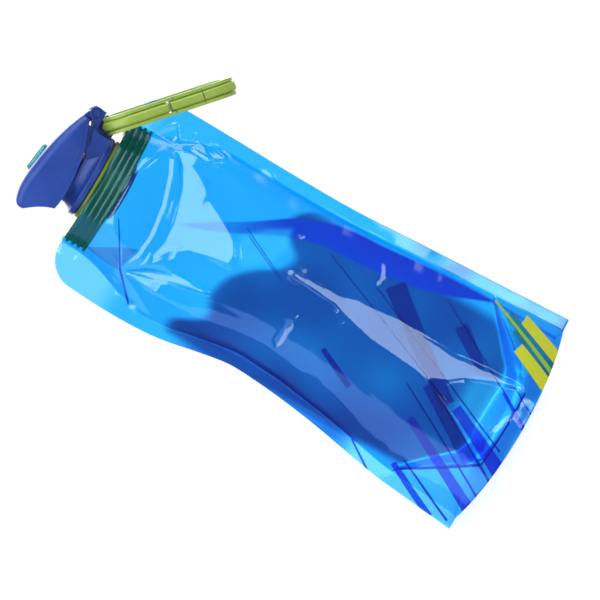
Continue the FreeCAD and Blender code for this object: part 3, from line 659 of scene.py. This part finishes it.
# what an ink lets through, how much it covers, and its own colour
INKS = {
    "navy": (rgb(0.20, 0.40, 0.80), 0.05, rgb(0.01, 0.03, 0.22)),
    "royal": (rgb(0.22, 0.42, 0.92), 0.10, rgb(0.01, 0.06, 0.60)),
    "violet": (rgb(0.36, 0.44, 0.90), 0.10, rgb(0.03, 0.06, 0.55)),
    "teal": (rgb(0.16, 0.80, 0.72), 0.30, rgb(0.0, 0.22, 0.26)),
    # a soft ink for faint printed bands, also used for lines of painted shade along creases
    "shade": (rgb(0.42, 0.42, 0.80), 0.0, rgb(0.01, 0.03, 0.22)),
    "lime": (rgb(0.42, 0.72, 0.10), 0.85, rgb(0.24, 0.42, 0.03)),
    "yellow": (rgb(0.80, 0.78, 0.06), 0.92, rgb(0.47, 0.50, 0.015)),
}
# Printed stripes on the front, and thin lines of painted shade along creases: top end, bottom end, width at
# each, ink
FRONT_STRIPES = [
    ((44.0, 29.6), (31.0, -3.0), 5.0, 5.4, "teal"),
    ((39.0, 24.6), (27.0, -3.0), 4.0, 4.6, "teal"),
    ((46.8, 38.6), (28.4, -3.0), 1.3, 2.4, "lime"),
    ((45.8, 21.4), (36.2, -3.0), 5.8, 6.4, "yellow"),
    ((31.8, 20.0), (21.6, -3.0), 6.0, 7.2, "yellow"),
    ((25.0, 124.0), (-8.0, 42.0), 0.5, 0.7, "navy"),
    ((22.4, 97.0), (-17.0, 4.0), 0.5, 0.9, "navy"),
    ((34.0, 61.0), (-2.0, -3.0), 0.5, 0.8, "navy"),
    ((13.2, 164.0), (1.0, 138.0), 0.4, 0.4, "navy"),
    ((15.6, 166.0), (3.0, 140.0), 0.4, 0.4, "navy"),
    ((8.9, 18.0), (-3.0, -3.0), 1.0, 2.6, "royal"),
    ((14.0, 14.0), (5.0, -3.0), 0.6, 0.8, "navy"),
    ((-9.0, 34.0), (-26.5, -3.0), 5.0, 7.4, "royal"),
    ((-16.4, 105.0), (-26.0, 84.0), 2.6, 3.0, "shade"),
    ((-24.4, 51.0), (-50.4, -3.0), 3.6, 5.6, "violet"),
    ((-10.2, 62.0), (-43.5, -3.0), 0.7, 1.0, "navy"),
    ((-7.4, 46.0), (-33.8, -3.0), 0.7, 1.3, "navy"),
    ((-48.0, 66.0), (-61.0, 46.0), 0.9, 1.2, "royal"),
    # painted shade along the valley crease beside the left pinch
    ((-11.0, 221.5), (-32.0, 208.0), 0.5, 0.9, "shade"),
    ((-31.5, 208.4), (-45.0, 195.0), 1.1, 0.9, "shade"),
    ((-48.0, 43.0), (-62.6, 12.0), 2.6, 3.6, "royal"),
    ((-44.0, 40.0), (-60.0, 3.0), 0.8, 1.2, "navy"),
    # painted shade along the gusset's weld crease
    ((-49.0, 38.5), (-27.2, 8.4), 1.5, 1.5, "shade"),
    ((-27.4, 8.2), (14.4, 7.6), 1.0, 0.9, "navy"),
]
BACK_STRIPES = [
    ((29.0, 82.0), (-10.0, 26.0), 10.0, 8.0, "shade"),
    ((-6.0, 40.0), (-30.0, 2.0), 6.0, 7.0, "shade"),
    ((28.0, 42.0), (14.0, 20.0), 7.0, 5.0, "shade"),
]


def stripe_mask(n, place, top, bottom, width_top, width_bottom):
    """1 inside one straight printed stripe or line of painted shade that widens from its top end to its
    bottom end.
    """
    (x0, z0), (x1, z1) = top, bottom
    length = math.hypot(x1 - x0, z1 - z0)
    run = ((x1 - x0) / length, (z1 - z0) / length)
    unit = 0.01
    across = n.dot(place, (run[1], -run[0], 0))
    off = n.math("ABSOLUTE", n.math("SUBTRACT", across, (run[1] * x0 - run[0] * z0) * unit))
    along = n.math("SUBTRACT", n.dot(place, (run[0], run[1], 0)), (run[0] * x0 + run[1] * z0) * unit)
    grow = (width_bottom - width_top) / 2 / length
    half = n.math("MULTIPLY_ADD", along, grow, width_top / 2 * unit)
    inside = n.math("LESS_THAN", off, half)
    begun = n.math("GREATER_THAN", along, 0.0)
    over = n.math("LESS_THAN", along, length * unit)
    return n.math("MULTIPLY", n.math("MULTIPLY", inside, begun), over)


def print_on(n, place, stripes):
    """The print, with its lines of painted shade: what it lets through, its own colour and how much it
    covers.
    """
    tint, colour, cover = WHITE, rgb(0.01, 0.22, 0.62), 0.0
    for top, bottom, width_top, width_bottom, ink in stripes:
        mask = stripe_mask(n, place, top, bottom, width_top, width_bottom)
        through, amount, own = INKS[ink]
        tint = n.mix(mask, tint, n.mix(1.0, tint, through, "MULTIPLY"))
        colour = n.mix(mask, colour, own)
        cover = n.math("MAXIMUM", n.math("MULTIPLY", mask, amount), cover)
    return tint, colour, cover


def film_material(name, stripes, gloss):
    """See-through film: tinted light comes through, darker at a slant, with a clear reflection outside."""
    n = Nodes(name)
    place = n.add("UVMap", uv_map="flat")
    pale, deep, shade_band, base, snug = [
        n.add("Attribute", {}, "Fac", attribute_name=key) for key in ("pale", "deep", "shade_band", "base", "snug")]
    facing = n.add("LayerWeight", {"Blend": 0.5}, "Facing")
    cloud = n.noise(0.9, 2.0, 0.5, place)
    tint = n.mix(n.span(cloud, 0.35, 0.7), AZURE, AZURE_DEEPER)
    # painted shade comes in here, through the deep and band values
    tint = n.mix(deep, tint, DEEP)
    tint = n.mix(shade_band, tint, BAND_SHADE)
    tint = n.mix(base, tint, BELOW_GUSSET)
    tint = n.mix(pale, tint, SEALED)
    ink, colour, cover = print_on(n, place, stripes)
    tint = n.mix(1.0, tint, ink, "MULTIPLY")
    slant = n.math("MULTIPLY_ADD", n.math("POWER", facing, 2.0), 1.5, 1.0)
    tint = n.add("Gamma", {"Color": tint, "Gamma": slant})
    shine = n.span(snug, 0.0, 1.0, 1.0, SNUG_SHINE) if gloss else 0.0
    return n.finish(film_shader(n, place, facing, tint, colour, cover, shine))


def film_shader(n, place, facing, tint, colour, cover, shine):
    """Clear film with a little haze or ink in it, under a gloss that grows towards a slant."""
    ripple = n.noise(14.0, 3.0, 0.55, place)
    bump = n.add("Bump", {"Strength": 0.05, "Distance": 0.0006, "Height": ripple})
    clear = n.add("BsdfTransparent", {"Color": tint})
    body = n.add("BsdfPrincipled", {
        "Base Color": colour, "Roughness": 0.35, "Specular IOR Level": 0.2, "Normal": bump})
    inner = n.add("MixShader", {0: n.math("MAXIMUM", cover, HAZE), 1: clear, 2: body})
    if shine == 0.0:
        return inner
    gloss = n.add("BsdfAnisotropic", {"Color": WHITE, "Roughness": 0.05, "Normal": bump})
    mirror = n.math("MULTIPLY_ADD", n.math("POWER", facing, 4.0), SLANT_SHINE, SQUARE_SHINE)
    outside = n.math("SUBTRACT", 1.0, n.add("NewGeometry", {}, "Backfacing"))
    mirror = n.math("MULTIPLY", n.math("MULTIPLY", mirror, outside), shine)
    return n.add("MixShader", {0: mirror, 1: inner, 2: gloss})


def gusset_material(name, gloss):
    """The gusset's film has no print, and is paler where its legs are welded inside the other films."""
    n = Nodes(name)
    place = n.add("UVMap", uv_map="flat")
    facing = n.add("LayerWeight", {"Blend": 0.5}, "Facing")
    leg = n.add("Attribute", {}, "Fac", attribute_name="leg")
    cloud = n.noise(1.4, 2.0, 0.5, place)
    saddle = n.mix(cloud, rgb(0.24, 0.62, 0.92), rgb(0.30, 0.68, 0.95))
    tint = n.mix(leg, saddle, rgb(0.90, 0.975, 1.0))
    return n.finish(film_shader(n, place, facing, tint, rgb(0.02, 0.25, 0.62), 0.0, float(gloss)))


def plastic(name, colour, roughness, grain, edge):
    """Moulded plastic: slight colour and gloss variation, fine texture, softly rounded, lighter edges for
    edge wear and a painted edge highlight.
    """
    n = Nodes(name)
    place = n.add("TexCoord", {}, "Object")
    cloud = n.noise(45.0, 3.0, 0.6, place)
    dark = rgb(*[c * 0.86 for c in colour[:3]])
    light = rgb(*[min(1, c * 1.12 + 0.004) for c in colour[:3]])
    body = n.mix(n.span(cloud, 0.3, 0.7), dark, light)
    rounded = n.add("Bevel", {"Radius": edge * MM}, samples=4)
    sharp = n.add("NewGeometry", {}, "Normal")
    away = n.math("SUBTRACT", 1.0, n.dot(rounded, sharp))
    # edges painted lighter: edge wear and a painted edge highlight
    edge_wear_and_highlight = n.span(away, 0.0, 0.25)
    rim = rgb(*[min(1, c * 1.4 + 0.02) for c in colour[:3]])
    body = n.mix(n.math("MULTIPLY", edge_wear_and_highlight, 0.45), body, rim)
    fine = n.noise(2600.0, 2.0, 0.6, place)
    bump = n.add("Bump", {"Strength": grain, "Distance": 0.0004, "Height": fine, "Normal": rounded})
    gloss = n.span(n.noise(160.0, 4.0, 0.6, place), 0.2, 0.8, roughness * 0.85, roughness * 1.15)
    shader = n.add("BsdfPrincipled", {
        "Base Color": body, "Roughness": gloss, "Specular IOR Level": 0.26, "Normal": bump})
    return n.finish(shader)


def rubber(name, colour, roughness, through=0.0):
    """Soft silicone or rubber, a little see-through if through is above 0."""
    n = Nodes(name)
    place = n.add("TexCoord", {}, "Object")
    cloud = n.noise(120.0, 3.0, 0.6, place)
    dark = rgb(*[c * 0.88 for c in colour[:3]])
    body = n.mix(cloud, dark, colour)
    rounded = n.add("Bevel", {"Radius": 0.3 * MM}, samples=4)
    fine = n.noise(1800.0, 2.0, 0.6, place)
    bump = n.add("Bump", {"Strength": 0.05, "Distance": 0.0003, "Height": fine, "Normal": rounded})
    shader = n.add("BsdfPrincipled", {
        "Base Color": body, "Roughness": roughness, "Normal": bump, "Transmission Weight": through,
        "Subsurface Weight": 0.3 if through else 0.0, "Subsurface Scale": 0.002})
    return n.finish(shader)


def steel(name):
    """Bright steel with a fine brushed grain."""
    n = Nodes(name)
    place = n.add("TexCoord", {}, "Object")
    brushed = n.noise(900.0, 3.0, 0.7, place)
    colour = n.mix(brushed, rgb(0.50, 0.50, 0.50), rgb(0.66, 0.66, 0.65))
    gloss = n.span(brushed, 0.2, 0.8, 0.22, 0.38)
    shader = n.add("BsdfPrincipled", {"Base Color": colour, "Metallic": 1.0, "Roughness": gloss})
    return n.finish(shader)


def paint(node, material):
    """Gives a CAD node its material in every slot."""
    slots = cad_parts[node].data.materials
    if not slots:
        slots.append(material)
    for i in range(len(slots)):
        slots[i] = material


def paint_cad_nodes():
    lime = plastic("lime_hook", rgb(0.22, 0.315, 0.045), 0.34, 0.03, 0.26)
    fitment = plastic("lime_fitment", rgb(0.10, 0.155, 0.006), 0.30, 0.02, 0.12)
    blue = plastic("blue_cap", rgb(0.004, 0.028, 0.185), 0.36, 0.03, 0.14)
    lid = plastic("blue_lid", rgb(0.005, 0.034, 0.225), 0.42, 0.03, 0.12)
    paint("carabiner_body", lime)
    paint("carabiner_gate", lime)
    paint("spout_fitment", fitment)
    paint("cap_body", blue)
    paint("hinge_pin", blue)
    paint("flip_lid", lid)
    paint("cap_gasket", rubber("black_gasket", rgb(0.012, 0.012, 0.014), 0.6))
    paint("drinking_spout", rubber("clear_spout", rgb(0.80, 0.88, 0.90), 0.3, 0.5))
    paint("lid_seal", rubber("teal_button", rgb(0.06, 0.42, 0.46), 0.25, 0.55))
    paint("gate_pin", steel("steel_pin"))
    paint("gate_spring", steel("steel_spring"))


# ================================================================== pieces


def make_pouch():
    front = film("front_film", -1, FRONT_STRIPES)
    back = film("back_film", 1, BACK_STRIPES)
    base = gusset("gusset_film")
    for piece, nodes in ((front, "front_film"), (back, "back_film")):
        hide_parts(nodes + "_lower", nodes + "_fold", nodes + "_upper")
        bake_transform(piece)
    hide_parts("bottom_gusset")
    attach(base, "pouch")


# ================================================================== stage


def make_camera():
    data = bpy.data.cameras.new("camera")
    camera = bpy.data.objects.new("camera", data)
    bpy.context.scene.collection.objects.link(camera)
    tilt = math.radians(CAMERA_ELEVATION)
    back = Vector((0, -math.cos(tilt), math.sin(tilt)))
    camera.location = AIM + back * CAMERA_DISTANCE
    camera.rotation_mode = "QUATERNION"
    roll = Quaternion((0, 0, 1), -math.radians(CAMERA_ROLL))
    camera.rotation_quaternion = (-back).to_track_quat("-Z", "Y") @ roll
    data.sensor_width = 36.0
    data.lens = data.sensor_width * CAMERA_DISTANCE / FRAME_WIDTH
    data.clip_start, data.clip_end = 0.01, 200
    bpy.context.scene.camera = camera


def make_floor():
    corners = [(x * FLOOR_HALF, y * FLOOR_HALF, 0) for x, y in ((-1, -1), (1, -1), (1, 1), (-1, 1))]
    floor = new_mesh("floor", corners, [(0, 1, 2, 3)])
    n = Nodes("pale_floor")
    soft = n.noise(3.0, 2.0, 0.5, n.add("TexCoord", {}, "Generated"))
    colour = n.mix(soft, rgb(0.86, 0.87, 0.88), rgb(0.90, 0.90, 0.91))
    floor.data.materials.append(n.finish(n.add("BsdfPrincipled", {"Base Color": colour, "Roughness": 0.9})))
    floor.visible_glossy = False


def area_light(name, place, aim, size, power):
    data = bpy.data.lights.new(name, "AREA")
    data.shape = "RECTANGLE"
    data.size, data.size_y = size
    data.energy = power
    light = bpy.data.objects.new(name, data)
    light.location = place
    light.rotation_mode = "QUATERNION"
    light.rotation_quaternion = (Vector(aim) - Vector(place)).to_track_quat("-Z", "Y")
    light.visible_glossy = False
    bpy.context.scene.collection.objects.link(light)


# soft boxes that the gloss reflects: azimuth from and to (0 is the front, 90 the hook's side),
# elevation from and to, edge softness, strength and colour
SOFT_BOXES = [
    ((6, 28), (-24.5, -9.8), 0.8, 8.2, (0.76, 0.93, 1.0)),
    ((-50, 74), (12.0, 22), 0.8, 8.0, (0.74, 1.0, 0.92)),
    ((-86, -49), (-30, 20), 1.6, 3.8, (0.28, 0.48, 1.0)),
    ((-100, 100), (23, 60), 2.0, 7.5, (0.90, 0.98, 1.0)),
    ((88, 128), (-2, 30), 5.0, 4.0, (1.0, 1.0, 1.0)),
    ((150, 205), (-20, 60), 5.0, 5.0, (0.95, 0.97, 1.0)),
]
DIM_ROOM = 0.28


def soft_box(n, azimuth, elevation, box):
    (a0, a1), (e0, e1), soft, strength, colour = box
    turn = n.math("SUBTRACT", azimuth, (a0 + a1) / 2)
    turn = n.math("ABSOLUTE", n.math("WRAP", turn, 180.0, -180.0))
    rise = n.math("ABSOLUTE", n.math("SUBTRACT", elevation, (e0 + e1) / 2))
    wide, tall = (a1 - a0) / 2, (e1 - e0) / 2
    across = n.span(turn, wide - soft, wide + soft, 1.0, 0.0, "SMOOTHSTEP")
    up = n.span(rise, tall - soft, tall + soft, 1.0, 0.0, "SMOOTHSTEP")
    share = n.math("MULTIPLY", n.math("MULTIPLY", across, up), strength)
    return n.add("VectorMath", {0: share, 1: colour}, operation="MULTIPLY")


def make_world():
    """An even white studio; what is glossy reflects a dimmer room with soft boxes in it."""
    world = bpy.data.worlds.new("studio")
    bpy.context.scene.world = world
    world.use_nodes = True
    n = Nodes.__new__(Nodes)
    n.tree = world.node_tree
    n.tree.nodes.clear()
    output = n.tree.nodes.new("ShaderNodeOutputWorld")
    way = n.add("TexCoord", {}, "Generated")
    parts = n.tree.nodes.new("ShaderNodeSeparateXYZ")
    n.link(way, parts.inputs[0])
    front = n.math("MULTIPLY", parts.outputs["Y"], -1.0)
    azimuth = n.math("DEGREES", n.math("ARCTAN2", parts.outputs["X"], front))
    elevation = n.math("DEGREES", n.math("ARCSINE", parts.outputs["Z"]))
    total = (DIM_ROOM, DIM_ROOM, DIM_ROOM * 1.05)
    for box in SOFT_BOXES:
        total = n.add("VectorMath", {0: total, 1: soft_box(n, azimuth, elevation, box)}, operation="ADD")
    room = n.add("Background", {"Color": total, "Strength": 1.0})
    white = n.add("Background", {"Color": WHITE, "Strength": 1.0})
    glossy = n.add("LightPath", {}, "Is Glossy Ray")
    n.link(n.add("MixShader", {0: glossy, 1: white, 2: room}), output.inputs["Surface"])


def make_stage():
    make_camera()
    make_floor()
    make_world()
    area_light("key", (-0.5, -1.0, 1.1), AIM, (0.7, 0.7), 6.5)
    area_light("fill", (1.1, -0.7, 0.5), AIM, (0.8, 0.8), 2.0)
    area_light("top", (0.1, 0.3, 1.4), AIM, (0.9, 0.9), 4.5)
    bpy.context.scene.view_settings.view_transform = "Standard"
    bpy.context.scene.cycles.transparent_max_bounces = 24


# ================================================================== the whole scene

make_stage()
paint_cad_nodes()
make_pouch()
